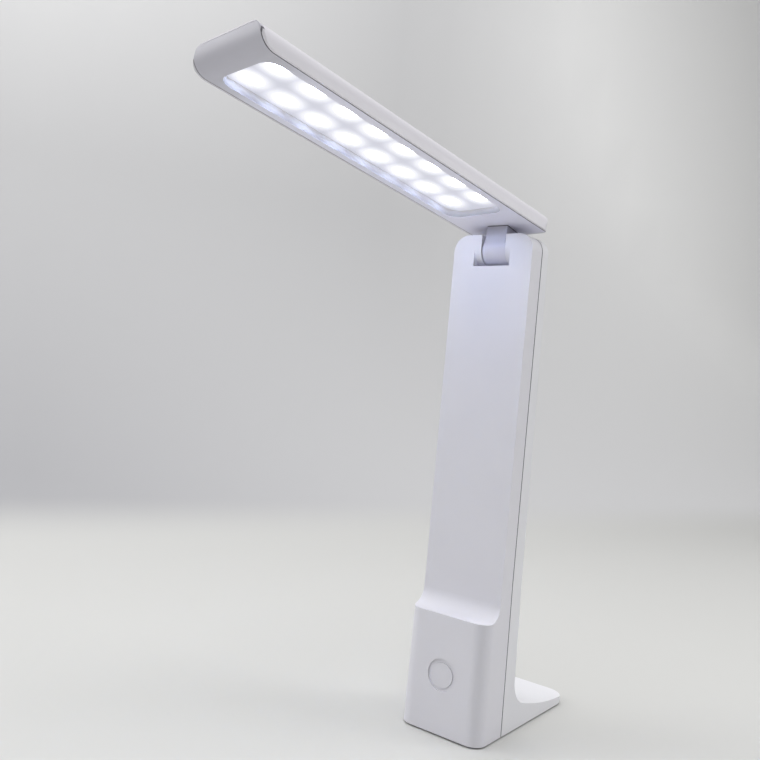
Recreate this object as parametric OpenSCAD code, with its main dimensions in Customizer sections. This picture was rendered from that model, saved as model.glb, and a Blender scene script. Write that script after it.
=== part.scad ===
/* [Column and block] */
// Width of the column, of the head and of the block at its ledge
width = 50; // [46:1:58]
// Height from the table to the top of the column
height = 278; // [250:1:310]
// Thickness of the column at its top
column_t = 19; // [18.5:0.5:22]
// How much thicker the column would be at the table than at its top
column_lean = 5; // [2:0.5:7]
// Height of the ledge under the folded head's tip
ledge_h = 66; // [62:1:76]
// How far the block stands out in front of the column's face
block_d = 13.2; // [12.6:0.1:17]
// Radius of the block's two front corners, seen from above
block_r = 8; // [6:0.5:9]
// How much each side of the base spreads from the ledge down to the table
base_spread = 1; // [0.5:0.25:2]
// Radius of the hollow curve from the ledge up to the column's face
ledge_r = 9; // [7:0.5:10]
// Radius of the column's two top corners, seen from the front
top_r = 9; // [8:0.5:11]
// Wall thickness of the moulded shells of the stand
shell_wall = 2; // [1.8:0.1:2.2]
// Distance of the parting line behind the column's face
seam_d = 12; // [11.5:0.25:12.5]

/* [Foot] */
// Length of the whole base, from the block's face to the foot's end
base_l = 107.5; // [104:0.5:125]
// Height of the foot's top at its end
foot_tip_t = 5; // [5:0.1:6.5]
// Radius of the long dished top of the foot
foot_dish_r = 200; // [180:5:260]
// Radius of the hollow curve between the column's back and the foot
foot_curve_r = 16; // [12:1:20]
// Radius of the foot's two rear corners, seen from above
foot_r = 11; // [6:0.5:13]
// Height of the shadow gap between the shells and the table
shadow_gap = 1; // [0.7:0.1:1.1]
// Thickness of the non-slip pad
pad_t = 1.2; // [1.1:0.1:1.4]
// Thickness of the base plate
plate_t = 1.5; // [1.3:0.1:1.6]

/* [Head] */
// Distance from the hinge axis to the tip of the head
head_reach = 197.5; // [180:0.5:199]
// Distance from the hinge axis to the rear end of the head
head_tail = 9.2; // [8.6:0.2:10]
// Thickness of the head
head_t = 11.3; // [11.2:0.1:13]
// Radius of the two long upper edges of the head
head_edge_r = 9.5; // [7:0.5:9.5]
// Radius of the curve under the tip of the head
tip_r = 9; // [7:0.5:9.5]
// Radius of the head's two tip corners, seen from above
tip_corner_r = 4; // [3:0.5:6]
// Space between the lit face and the column when the head is folded
face_gap = 4.3; // [4.1:0.1:5]
// Wall thickness of the head's two mouldings
head_wall = 1.6; // [1.5:0.1:1.8]
// Angle of the head above the horizontal
tilt = 9.2; // [0:0.1:16]
// Angle that the head is turned on its neck
swivel = 7; // [-45:0.5:45]

/* [Light] */
// Width of the light window
window_w = 37; // [34:0.5:37]
// Distance from the hinge axis to the window's near end
window_start = 24.2; // [24:0.1:28]
// Distance from the window's far end to the tip of the head
window_tip = 10.6; // [10:0.2:20]
// Corner radius of the window
window_r = 7.5; // [5:0.5:9]
// Depth of the recess in front of the diffuser
window_depth = 3.8; // [3:0.1:3.9]
// Number of light sources in each of the two rows
led_count = 8; // [6:1:9]
// Distance from the hinge axis to the nearest light sources
led_start = 37.8; // [34:0.1:42]
// Distance from the window's far end to the farthest light sources
led_end = 10.7; // [8:0.1:14]
// Distance of each row from the head's centre line
led_row_x = 9.5; // [8:0.1:11]

/* [Button] */
// Diameter of the push button's cap
button_d = 13.4; // [12:0.2:14]
// Diameter of the shallow dish round the cap
dish_d = 18; // [17:0.5:20]
// Depth of the dish
dish_t = 0.8; // [0.6:0.1:0.9]
// Height of the button's centre above the table
button_z = 33.2; // [30:0.2:36]
// How far the button can be pressed
button_travel = 0.6; // [0.4:0.1:0.7]

/* [Hinge] */
// Radius of the hinge's round ears and knuckle
hinge_r = 8.2; // [8:0.1:8.6]
// Width of the recess in front of the ears and the knuckle
pocket_w = 23; // [22:0.5:25]
// Width of the knuckle
knuckle_w = 14.2; // [13.6:0.1:14.6]
// How far the knuckle stands to the right of the column's middle
hinge_x = 0.8; // [0:0.1:0.9]
// Width of the neck that carries the head
neck_w = 12.8; // [12:0.1:13.2]
// Radius of the hinge shaft
shaft_r = 2.5; // [2.3:0.1:2.6]
// Radius of the hollow spigot that the head turns on
spigot_r = 4.4; // [4:0.1:4.6]

/* [Hidden] */
$fn = 64;

// Clearances: free play, running fit, seat of a pressed pin, and the cut that passes a face
play = 0.15;
run_fit = 0.05;
pin_seat = 0.02;
cut = 1;

// Places along Y, from the block's face at the front to the foot's end
front_y = -base_l / 2;
rear_y = base_l / 2;
col_y = front_y + block_d;
seam_y = col_y + seam_d;
half_w = width / 2;
base_half_w = half_w + base_spread;
spread_h = ledge_h + 2 * ledge_r;
side_step = 0.03;
side_lean = atan((base_spread - side_step) / spread_h);

// Hinge axis and the head's lit face above it
axis_y = col_y + hinge_r;
axis_z = height - hinge_r;
face_up = hinge_r + face_gap;

// Pocket for the hinge: a slot for the knuckle, and a recess round the lower fronts of the ears
pocket_wall = 1.5;
pocket_gap = 1.3;
pocket_bottom = axis_z - hinge_r - pocket_gap;
pocket_back = axis_y + hinge_r + 2 * play;
pocket_x = pocket_w / 2;
washer_t = 0.9;
knuckle_left = hinge_x - knuckle_w / 2;
knuckle_right = hinge_x + knuckle_w / 2;
slot_left = knuckle_left - washer_t - 2 * run_fit;
slot_right = knuckle_right + 2 * run_fit;
ear_r = hinge_r - run_fit;

// Line of the column's back in the side view: a unit normal that points out and its distance
back_angle = atan(column_lean / height);
back_n = [cos(back_angle), sin(back_angle)];
back_up = [-back_n[1], back_n[0]];
back_k = back_n * [col_y + column_t, height];
function back_at(z, inset = 0) = (back_k - inset - back_n[1] * z) / back_n[0];

// Centre of the foot's dished top, which is level at its end
dish_c = [rear_y, foot_tip_t + foot_dish_r];

// Centre of the small curve that touches both the column's back and the dished top
curve_out = back_k + foot_curve_r - back_n * dish_c;
curve_c = dish_c + curve_out * back_n
        - sqrt(pow(foot_dish_r - foot_curve_r, 2) - pow(curve_out, 2)) * back_up;
curve_n = (curve_c - dish_c) / norm(curve_c - dish_c);

// Levels in the base
plate_z = pad_t;
floor_z = pad_t + plate_t;
pad_inset = shell_wall + play;

// Seam groove
groove_w = 0.6;
groove_d = 0.5;

// Bosses and their screws
boss_r = 3.4;
screw_r = 1.25;
screw_head_r = 2.4;
screw_head_t = 1.3;
screw_l = 8;
front_boss_in = 7.5;
front_boss = [half_w - front_boss_in, front_y + front_boss_in];
rear_boss_in = 10;
rear_boss_back = 7;
rear_boss = [half_w - rear_boss_in, back_at(0) + rear_boss_back];
front_boss_h = 11;
weight_l = 42;

// Button, switch and their board, as distances behind the block's face
flange_r = button_d / 2 + 1.3;
flange_t = 0.9;
cap_sunk = 0.2;
cap_fit = 0.09;
stem_r = 2;
stem_end = 4.4;
switch_front = 5.0;
switch_size = [6, 3.4, 6];
plunger_r = 1.7;
board_t = 1.6;
board_front = switch_front + switch_size[1];
button_board_size = [36, board_t, 38];
board_boss = [14, 15];
board_boss_r = 2.5;
pilot_r = 0.9;
board_screw_l = 6.5;
board_screw_head_r = 1.7;
board_screw_head_t = 0.9;

// Battery pack behind the button board
pack_size = [24, 11, 50];
pack_y = front_y + board_front + board_t;
pack_r = 1.5;
pack_rib_h = 22;

// Charging socket on the back, above the curve of the foot
socket_z = 43;
socket_w = 8.9;
socket_h = 3.2;
socket_l = 7.4;
socket_wall = 0.3;
socket_side = 0.02;
tongue_size = [6.5, 5.8, 0.7];
socket_inset = 0.6;
port_w = 10.4;
port_h = 4.6;
charge_board_size = [24, 13, board_t];
shelf_x = 9;
shelf_w = 3;
shelf_h = 5;
indicator_r = 1;
indicator_x = 8.4;
indicator_in = 3;

// Ribs inside the shells of the stand, and how deep they are rooted in the walls
rooted = 0.5;
rib_t = 1.2;
rib_d = 2.5;
rib_pitch = 34;
lip_t = 1;
lip_d = 1.4;

// Shaft and its ends, beside the pocket
shaft_bore_r = 1.5;
thread_out = 0.6;
shaft_head_r = 4;
shaft_head_t = 1.6;
nut_r = 4;
nut_t = 2.6;
washer_r = 6.5;
pocket_side = pocket_x + pocket_wall;

// Neck and spigot
neck_step = 0.03;
neck_front = ear_r - neck_step;
neck_back = 5.4;
neck_top = face_up - run_fit;
spigot_bore_r = 2.4;
hub_r = 7;
hub_t = 3.2;
swivel_washer_r = 6.6;
swivel_washer_t = 0.8;
swivel_nut_r = 6;
swivel_nut_t = 2.8;
spigot_top = face_up + hub_t + swivel_washer_t + swivel_nut_t + thread_out;

// Wires: a pair up the column into the shaft, and a pair from the light board into the spigot
wire_r = 0.6;
wire_joint_r = wire_r + 0.1;
wire_pair = wire_r + 0.15;
wire_x = half_w - shell_wall - 2.6;
wire_bend = 2.4;
wire_start_x = 12;

// Head in its own frame: the hinge axis is the origin, the tip points to -Y, the lit face looks down
head_rim = 1.3;
tail_top_r = 4;
tail_corner_r = 5;
tip_top_r = 1.2;
frame_x = half_w - head_rim - play;
frame_tail = head_tail - head_rim - play;
seam_t = head_t - 1.2;
head_gap = 0.3;
window_l = head_reach - window_tip - window_start;
window_mid = -(window_start + window_l / 2);
window_wall = 1.2;
diffuser_t = 0.9;
ridge_gap = 0.2;
ridge_t = 0.9;
ridge_out = window_wall + ridge_gap + ridge_t;
board_level = window_depth + diffuser_t + 1.7;
led_board_t = 1;
led_pitch = (window_l + window_start - led_end - led_start) / (led_count - 1);
led_size = [3.5, 2.8, 0.8];
clip_size = [1, 7, 4.4];
clip_pitch = 36;
clip_count = 5;

// Extrudes a side view, drawn as Y and Z, across a width centred on X = 0
module across(w) {
    translate([-w / 2, 0, 0])
        rotate([90, 0, 90])
            linear_extrude(w)
                children();
}

// Extrudes a front view, drawn as X and Z, from y1 to y2
module deep(y1, y2) {
    translate([0, y2, 0])
        rotate([90, 0, 0])
            linear_extrude(y2 - y1)
                children();
}

// Extrudes a plan, drawn as X and Y, from z1 to z2
module tall(z1, z2) {
    translate([0, 0, z1])
        linear_extrude(z2 - z1)
            children();
}

// Both sides of the mirror plane X = 0
module both() {
    children();
    mirror([1, 0, 0]) children();
}

// Rectangle centred on the origin with round corners
module round_rect(w, l, r) {
    square([w - 2 * r, l], center = true);
    square([w, l - 2 * r], center = true);
    for (x = [-1, 1], y = [-1, 1])
        translate([x * (w / 2 - r), y * (l / 2 - r)])
            circle(r);
}

// Rectangle from a corner point a to a corner point b
module box2(a, b) {
    translate([min(a[0], b[0]), min(a[1], b[1])])
        square([abs(b[0] - a[0]), abs(b[1] - a[1])]);
}

// Front view of the column, drawn in by an inset: straight sides and round top corners
module column_front(inset = 0) {
    w = half_w - inset;
    r = top_r - inset;
    top = height - inset;
    box2([-w, 0], [w, top - r]);
    box2([-w + r, top - r], [w - r, top]);
    for (side = [-1, 1])
        translate([side * (w - r), top - r])
            circle(r);
}

// Front view of the whole stand: the column and the sides that spread towards the table
module stand_front(inset = 0) {
    low = base_half_w - inset;
    high = half_w - inset;
    column_front(inset);
    polygon([[-low, 0], [low, 0], [high, spread_h], [-high, spread_h]]);
}

// Side view of everything behind the seam: column, small curve and dished foot
module rear_side(inset = 0) {
    on_back = curve_c - (foot_curve_r + inset) * back_n;
    on_foot = curve_c + (foot_curve_r + inset) * curve_n;
    top = height - inset;
    end = rear_y - inset;
    polygon([[seam_y, 0], [on_back[0], 0], on_back, [back_at(top, inset), top], [seam_y, top]]);
    difference() {
        polygon([[on_back[0], 0], [end, 0], [end, dish_c[1]], on_foot]);
        translate(dish_c) circle(foot_dish_r + inset, $fn = 360);
    }
    difference() {
        polygon([[seam_y, 0], [on_foot[0], 0], on_foot, curve_c, on_back, [seam_y, on_back[1]]]);
        translate(curve_c) circle(foot_curve_r + inset, $fn = 128);
    }
}

// Plan of the base: round front corners on the block, round rear corners on the foot
module base_plan(inset = 0) {
    w = base_half_w - inset;
    rf = block_r - inset;
    rr = foot_r - inset;
    front = front_y + inset;
    end = rear_y - inset;
    box2([-w + rf, front], [w - rf, front + rf]);
    box2([-w, front + rf], [w, end - rr]);
    box2([-w + rr, end - rr], [w - rr, end]);
    for (side = [-1, 1]) {
        translate([side * (w - rf), front + rf]) circle(rf);
        translate([side * (w - rr), end - rr]) circle(rr);
    }
}

// Block, ledge and lower column between their two leaning sides
module block(inset = 0) {
    intersection() {
        across(3 * width) block_side(inset);
        leaning_half(inset);
        mirror([1, 0, 0]) leaning_half(inset);
    }
}

// Side view of the block, with the hollow curve from the ledge up to the column's face
module block_side(inset) {
    front = front_y + inset;
    face = col_y + inset;
    top = ledge_h - inset;
    curve = [col_y - ledge_r, ledge_h + ledge_r];
    polygon([[front, 0], [seam_y + inset, 0], [seam_y + inset, spread_h], [face, spread_h],
             [face, top], [front, top]]);
    if (inset == 0)
        difference() {
            polygon([[curve[0], top], [curve[0], top - cut], [face + cut, top - cut],
                     [face + cut, curve[1]], curve]);
            translate(curve) circle(ledge_r, $fn = 128);
        }
}

// Prism with one round front corner, tilted to the lean of the right side
module leaning_half(inset) {
    r = block_r - inset;
    front = front_y + inset;
    translate([base_half_w - inset, 0, 0])
        rotate([0, -side_lean, 0])
            tall(-2 * cut, spread_h + 2 * cut) {
                box2([-3 * half_w, front + r], [0, seam_y + inset]);
                box2([-3 * half_w, front], [-r, front + r]);
                translate([-r, front + r]) circle(r);
            }
}

// Room for the hinge and the walls round it, in the top of the column
module hinge_block() {
    x = pocket_x + pocket_wall;
    translate([-x, col_y - cut, pocket_bottom - pocket_wall])
        cube([2 * x, pocket_back - col_y + cut + pocket_wall, height]);
}

// Slot that the knuckle turns in, open at the front, at the top and towards the seam
module knuckle_slot() {
    translate([slot_left, col_y - cut, pocket_bottom])
        cube([slot_right - slot_left, pocket_back - col_y + cut, height]);
}

// Recess below the axis, which leaves the lower fronts of the two ears round
module ear_recess() {
    across(pocket_w)
        difference() {
            box2([col_y - cut, pocket_bottom], [axis_y, axis_z]);
            translate([axis_y, axis_z]) circle(ear_r);
        }
}

// Screw boss standing on the base plate, with a pilot hole from below
module screw_boss(at, top) {
    translate([at[0], at[1], floor_z])
        difference() {
            cylinder(r = boss_r, h = top - floor_z);
            translate([0, 0, -cut]) cylinder(r = screw_r, h = screw_l);
        }
}

// Front half of the stand: block, ledge, column face and the two hinge ears
module front_shell() {
    color("gainsboro")
    difference() {
        union() {
            difference() {
                union() {
                    deep(col_y, seam_y) column_front();
                    block();
                }
                // Hollow of the column and of the block
                deep(col_y + shell_wall, seam_y + cut) column_front(shell_wall);
                block(shell_wall);
                // Underside of the block, up to the shadow gap
                translate([-width, -base_l, -cut]) cube([2 * width, 2 * base_l, shadow_gap + cut]);
            }
            front_ribs();
            // Ears of the hinge and the wall below them
            intersection() {
                deep(col_y, seam_y) column_front();
                hinge_block();
            }
            both() {
                screw_boss(front_boss, front_boss_h);
                translate([front_boss[0] - rib_t / 2, front_y + shell_wall / 2, floor_z])
                    cube([rib_t, front_boss[1] - front_y - boss_r, front_boss_h - floor_z]);
            }
            both() for (side = [-1, 1])
                translate([board_boss[0], front_y + shell_wall / 2, button_z + side * board_boss[1]])
                    rotate([-90, 0, 0])
                        cylinder(r = board_boss_r, h = board_front - shell_wall / 2);
        }
        knuckle_slot();
        ear_recess();
        // Dish and hole of the button
        translate([0, front_y, button_z]) rotate([-90, 0, 0]) {
            translate([0, 0, -cut]) cylinder(r = dish_d / 2, h = dish_t + cut);
            translate([0, 0, -cut]) cylinder(r = button_d / 2 + cap_fit, h = shell_wall + 2 * cut);
        }
        // Pilot holes of the board's screws
        both() for (side = [-1, 1])
            translate([board_boss[0], front_y + shell_wall, button_z + side * board_boss[1]])
                rotate([-90, 0, 0])
                    cylinder(r = pilot_r, h = board_front);
        // Groove along the seam
        deep(seam_y - groove_d, seam_y + cut)
            difference() {
                stand_front(-cut);
                stand_front(groove_w);
            }
        // Bore of the hinge shaft
        translate([0, axis_y, axis_z]) rotate([0, 90, 0])
            cylinder(r = shaft_r + pin_seat, h = 2 * pocket_side + cut, center = true);
    }
}

// Short ribs across the back of the column's face
module front_ribs() {
    for (z = [ledge_h + ledge_r + rib_pitch / 2 : rib_pitch : pocket_bottom - rib_pitch / 2])
        translate([-half_w + shell_wall - rooted, col_y + shell_wall - rooted, z])
            cube([width - 2 * (shell_wall - rooted), rib_d + rooted, rib_t]);
}

// Rear half of the stand: column back, foot and the opening of the charging socket
module rear_shell() {
    back_y = back_at(socket_z);
    color("whitesmoke")
    difference() {
        union() {
            difference() {
                intersection() {
                    across(3 * width) rear_side();
                    deep(seam_y, rear_y) stand_front();
                    tall(shadow_gap, height) base_plan();
                }
                intersection() {
                    across(3 * width) rear_side(shell_wall);
                    deep(seam_y - cut, rear_y) stand_front(shell_wall);
                    tall(-cut, height) base_plan(shell_wall);
                }
                translate([-half_w + shell_wall, seam_y - cut, -cut])
                    cube([width - 2 * shell_wall, 2 * cut, height - shell_wall - top_r]);
            }
            // Rear halves of the ears and the wall behind the slot
            intersection() {
                across(pocket_w + 2 * pocket_wall) rear_side();
                deep(seam_y, rear_y) stand_front();
                hinge_block();
            }
            rear_ribs();
            rear_lips();
            both()
                intersection() {
                    screw_boss(rear_boss, ledge_h);
                    across(3 * width) rear_side(shell_wall / 2);
                }
            socket_shelf(back_y);
            pack_ribs();
        }
        knuckle_slot();
        // Opening of the charging socket and of its indicator
        translate([0, back_y, socket_z]) rotate([90, 0, 0])
            linear_extrude(4 * shell_wall, center = true)
                round_rect(port_w, port_h, (port_h - socket_side) / 2);
        translate([indicator_x, back_y, socket_z]) rotate([90, 0, 0])
            cylinder(r = indicator_r + run_fit, h = 4 * shell_wall, center = true);
    }
}

// Two shelves on the back wall that carry the charging board
module socket_shelf(back_y) {
    top = socket_z - socket_h / 2 - board_t;
    both()
        intersection() {
            translate([shelf_x, back_y - charge_board_size[1], top - shelf_h])
                cube([shelf_w, charge_board_size[1], shelf_h]);
            across(width) rear_side(shell_wall / 2);
        }
}

// Two upright ribs that hold the battery pack against its board
module pack_ribs() {
    back = pack_y + pack_size[1];
    both()
        intersection() {
            translate([pack_size[0] / 4, back, floor_z + foot_curve_r / 2])
                cube([rib_t, back_at(0) - back, pack_rib_h]);
            across(width) rear_side(shell_wall / 2);
        }
}

// Ribs across the inside of the column's back
module rear_ribs() {
    for (z = [ledge_h + rib_pitch / 2 : rib_pitch : pocket_bottom - rib_pitch / 2])
        translate([-half_w + shell_wall - rooted, back_at(z, shell_wall + rib_d), z])
            cube([width - 2 * (shell_wall - rooted), rib_d + rooted, rib_t]);
}

// Long lips that reach past the seam into the front shell
module rear_lips() {
    both()
        translate([half_w - shell_wall - lip_t - play, seam_y - lip_d, ledge_h + rib_pitch / 2]) {
            cube([lip_t, lip_d + rib_d, pocket_bottom - ledge_h - rib_pitch]);
            translate([0, lip_d, 0])
                cube([lip_t + play + rooted, rib_d, pocket_bottom - ledge_h - rib_pitch]);
        }
}

// Flat cover that closes the base from below
module base_plate() {
    color("lightgray")
    difference() {
        tall(plate_z, floor_z) base_plan(pad_inset);
        for (at = [front_boss, rear_boss]) both()
            translate([at[0], at[1], plate_z]) {
                translate([0, 0, -cut]) cylinder(r = screw_r + play, h = plate_t + 2 * cut);
                translate([0, 0, -cut]) cylinder(r = screw_head_r + play, h = screw_head_t + cut);
            }
    }
}

// Thin non-slip pad that the lamp rests on
module foot_pad() {
    color("dimgray") tall(0, pad_t) base_plan(pad_inset);
}

// Self-tapping screws that hold the base plate to both shells
module base_screws() {
    color("silver")
    for (at = [front_boss, rear_boss]) both()
        translate([at[0], at[1], plate_z]) {
            cylinder(r = screw_head_r, h = screw_head_t);
            cylinder(r = screw_r - pin_seat, h = screw_l - cut);
        }
}

// Cast weight in the foot that balances the head
module counterweight() {
    near = rear_boss[1] + boss_r + 2 * play;
    color("slategray")
        intersection() {
            across(width - 4 * shell_wall) rear_side(shell_wall + play);
            translate([-width, near, floor_z]) cube([2 * width, weight_l, height]);
        }
}

// Flat rechargeable pack behind the button board
module battery_pack() {
    low = floor_z;
    color("steelblue")
        translate([0, pack_y, low + pack_size[2] / 2])
            rotate([-90, 0, 0])
                linear_extrude(pack_size[1])
                    round_rect(pack_size[0], pack_size[2], pack_r);
}

// Circuit board behind the button, screwed to four bosses of the front shell
module button_board() {
    color("darkgreen")
    translate([0, front_y + board_front, button_z]) rotate([-90, 0, 0])
        difference() {
            linear_extrude(board_t) round_rect(button_board_size[0], button_board_size[2], 2);
            for (x = [-1, 1], z = [-1, 1])
                translate([x * board_boss[0], z * board_boss[1], -cut])
                    cylinder(r = pilot_r + play, h = board_t + 2 * cut);
        }
}

// Body of the tactile switch on the board, with a bore for its plunger
module button_switch() {
    color("dimgray")
    translate([0, front_y + switch_front, button_z])
        difference() {
            translate([-switch_size[0] / 2, 0, -switch_size[2] / 2]) cube(switch_size);
            rotate([-90, 0, 0])
                translate([0, 0, -cut])
                    cylinder(r = plunger_r + run_fit, h = switch_size[1] - 1 + cut);
        }
}

// Screws of the button board and of the charging board
module board_screws() {
    color("silver")
    both() for (z = [-1, 1])
        translate([board_boss[0], front_y + board_front + board_t, button_z + z * board_boss[1]])
            rotate([90, 0, 0]) {
                translate([0, 0, -board_screw_head_t]) {
                    cylinder(r = board_screw_head_r, h = board_screw_head_t);
                    cylinder(r = pilot_r - pin_seat, h = board_screw_l + board_screw_head_t);
                }
            }
}

// Push button: cap in the dish, flange behind the wall and stem to the switch
module power_button() {
    color("white")
    translate([0, front_y, button_z]) rotate([-90, 0, 0]) {
        translate([0, 0, cap_sunk]) cylinder(r = button_d / 2, h = shell_wall - cap_sunk + flange_t);
        translate([0, 0, shell_wall]) cylinder(r = flange_r, h = flange_t);
        translate([0, 0, shell_wall]) cylinder(r = stem_r, h = stem_end - shell_wall);
    }
}

// Plunger of the tactile switch, pushed by the button's stem
module switch_plunger() {
    color("black")
    translate([0, front_y + stem_end, button_z]) rotate([-90, 0, 0])
        cylinder(r = plunger_r, h = switch_front - stem_end + switch_size[1] - 1 - button_travel - play);
}

// Small board that carries the charging socket
module charge_board() {
    top = socket_z - socket_h / 2;
    back_y = back_at(socket_z, shell_wall + play);
    color("darkgreen")
        translate([-charge_board_size[0] / 2, back_y - charge_board_size[1], top - board_t])
            cube(charge_board_size);
}

// Metal shell of the charging socket
module usb_socket() {
    back_y = back_at(socket_z, socket_inset);
    color("silver")
    translate([0, back_y, socket_z]) rotate([90, 0, 0])
        difference() {
            linear_extrude(socket_l) round_rect(socket_w, socket_h, (socket_h - socket_side) / 2);
            translate([0, 0, -cut])
                linear_extrude(socket_l - socket_wall + cut)
                    round_rect(socket_w - 2 * socket_wall, socket_h - 2 * socket_wall,
                               (socket_h - socket_side) / 2 - socket_wall);
        }
}

// Contact tongue inside the charging socket
module usb_tongue() {
    back_y = back_at(socket_z, socket_inset);
    color("black")
        translate([-tongue_size[0] / 2, back_y - socket_l + socket_wall, socket_z - tongue_size[2] / 2])
            cube(tongue_size);
}

// Clear rod that shows the charging light on the back
module charge_indicator() {
    back_y = back_at(socket_z);
    length = shell_wall + indicator_in;
    color("lightgreen")
        translate([indicator_x, back_y - length, socket_z]) rotate([-90, 0, 0])
            cylinder(r = indicator_r, h = length - play);
}

// Hollow hinge shaft with its head on one side of the pocket and the nut on the other
module hinge_shaft() {
    right = pocket_side + washer_t + nut_t + thread_out;
    color("silver")
    translate([0, axis_y, axis_z]) rotate([0, 90, 0])
        difference() {
            union() {
                translate([0, 0, -pocket_side]) cylinder(r = shaft_r, h = pocket_side + right);
                translate([0, 0, -pocket_side - shaft_head_t]) cylinder(r = shaft_head_r, h = shaft_head_t);
            }
            translate([0, 0, -pocket_side - shaft_head_t - cut])
                cylinder(r = shaft_bore_r, h = pocket_side + shaft_head_t + right + 2 * cut);
            // Window towards the spigot, where the wires leave the shaft
            translate([-shaft_r, -shaft_r, -shaft_bore_r])
                cube([shaft_r, shaft_r, 2 * shaft_bore_r]);
        }
}

// Friction washer beside the knuckle and the spring washer under the nut
module hinge_washers() {
    color("gray")
    translate([0, axis_y, axis_z]) rotate([0, 90, 0])
        for (washer = [[slot_left + run_fit, washer_r], [pocket_side, shaft_head_r]])
            translate([0, 0, washer[0]])
                difference() {
                    cylinder(r = washer[1], h = washer_t);
                    translate([0, 0, -cut]) cylinder(r = shaft_r + pin_seat, h = washer_t + 2 * cut);
                }
}

// Nut that sets the friction of the hinge
module hinge_nut() {
    color("silver")
    translate([pocket_side + washer_t, axis_y, axis_z]) rotate([0, 90, 0])
        difference() {
            cylinder(r = nut_r, h = nut_t, $fn = 6);
            translate([0, 0, -cut]) cylinder(r = shaft_r + pin_seat, h = nut_t + 2 * cut);
        }
}

// Puts what hangs on the hinge at its angle
module on_hinge() {
    translate([0, axis_y, axis_z])
        rotate([-tilt, 0, 0])
            children();
}

// Moving knuckle between the ears, its neck, and the hollow spigot that the head turns on
module knuckle() {
    color("gainsboro")
    on_hinge()
        difference() {
            union() {
                translate([knuckle_left, 0, 0]) rotate([0, 90, 0]) cylinder(r = ear_r, h = knuckle_w);
                translate([hinge_x - neck_w / 2, -neck_front, 0])
                    cube([neck_w, neck_front + neck_back, neck_top]);
                cylinder(r = spigot_r, h = spigot_top);
            }
            rotate([0, 90, 0]) cylinder(r = shaft_r + run_fit, h = 2 * knuckle_w, center = true);
            cylinder(r = spigot_bore_r, h = 2 * spigot_top);
        }
}

// Washer that rubs on the head's hub
module swivel_washer() {
    color("silver")
    on_hinge()
        translate([0, 0, face_up + hub_t])
            difference() {
                cylinder(r = swivel_washer_r, h = swivel_washer_t);
                translate([0, 0, -cut]) cylinder(r = spigot_r + pin_seat, h = swivel_washer_t + 2 * cut);
            }
}

// Nut on the spigot that holds the head down on its neck
module swivel_nut() {
    color("silver")
    on_hinge()
        translate([0, 0, face_up + hub_t + swivel_washer_t])
            difference() {
                cylinder(r = swivel_nut_r, h = swivel_nut_t, $fn = 6);
                translate([0, 0, -cut]) cylinder(r = spigot_r + pin_seat, h = swivel_nut_t + 2 * cut);
            }
}

// Puts a piece of the head on its neck, turned to its angle
module on_neck() {
    on_hinge()
        rotate([0, 0, -swivel])
            translate([0, 0, face_up])
                children();
}

// Side view of the head, drawn in by an inset: round under the tip, eased at the tail
module head_side(inset = 0) {
    tip = -head_reach + inset;
    tail = head_tail - inset;
    top = head_t - inset;
    r = tip_r - inset;
    rt = max(tip_top_r - inset, 0.1);
    rb = tail_top_r - inset;
    box2([tip + r, inset], [tail - rb, top]);
    box2([tail - rb - 1, inset], [tail, top - rb]);
    box2([tip, inset + r], [tip + r + 1, top - rt]);
    box2([tip + rt, inset + r], [tip + r + 1, top]);
    translate([tip + r, inset + r]) circle(r);
    translate([tip + rt, top - rt]) circle(rt);
    translate([tail - rb, top - rb]) circle(rb);
}

// Section of the head across its length, with its two round upper edges
module head_section(inset = 0) {
    w = half_w - inset;
    r = head_edge_r - inset;
    top = head_t - inset;
    box2([-w, inset], [w, top - r]);
    box2([-w + r, inset], [w - r, top]);
    for (side = [-1, 1])
        translate([side * (w - r), top - r])
            circle(r);
}

// Plan of the head, with small corner radii at the tip and larger ones at the tail
module head_plan(inset = 0) {
    w = half_w - inset;
    tip = -head_reach + inset;
    tail = head_tail - inset;
    rt = tip_corner_r - inset;
    rb = tail_corner_r - inset;
    box2([-w, tip + rt], [w, tail - rb]);
    box2([-w + rt, tip], [w - rt, tip + rt]);
    box2([-w + rb, tail - rb], [w - rb, tail]);
    for (side = [-1, 1]) {
        translate([side * (w - rt), tip + rt]) circle(rt);
        translate([side * (w - rb), tail - rb]) circle(rb);
    }
}

// Outer form of the head
module head_body(inset = 0) {
    intersection() {
        across(3 * width) head_side(inset);
        deep(-2 * head_reach, head_reach) head_section(inset);
        tall(-cut, 2 * head_t) head_plan(inset);
    }
}

// Part of the head's form that belongs to the lower frame, grown by a gap
module frame_zone(gap = 0) {
    intersection() {
        translate([-frame_x - gap, -2 * head_reach, -cut])
            cube([2 * (frame_x + gap), 2 * head_reach + frame_tail + gap, seam_t + cut + gap]);
        across(3 * width)
            difference() {
                box2([-2 * head_reach, -cut], [head_tail, head_t]);
                box2([-head_reach + tip_r, head_wall + gap], [2 * head_tail, 2 * head_t]);
                box2([-head_reach + head_wall + gap, tip_r], [2 * head_tail, 2 * head_t]);
                translate([-head_reach + tip_r, tip_r]) circle(tip_r - head_wall - gap);
            }
    }
}

// Upper moulding of the head: roof, round sides and tail
module head_cover() {
    color("white")
    on_neck()
        difference() {
            head_body();
            difference() {
                head_body(head_wall);
                cover_ribs();
            }
            frame_zone(head_gap);
        }
}

// Cross ribs under the roof that press on the light board
module cover_ribs() {
    rest = board_level + led_board_t;
    for (i = [1 : 2 : led_count - 1])
        translate([-half_w, -led_start - (i - 0.5) * led_pitch - rib_t / 2, rest])
            cube([width, rib_t, head_t]);
}

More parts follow.
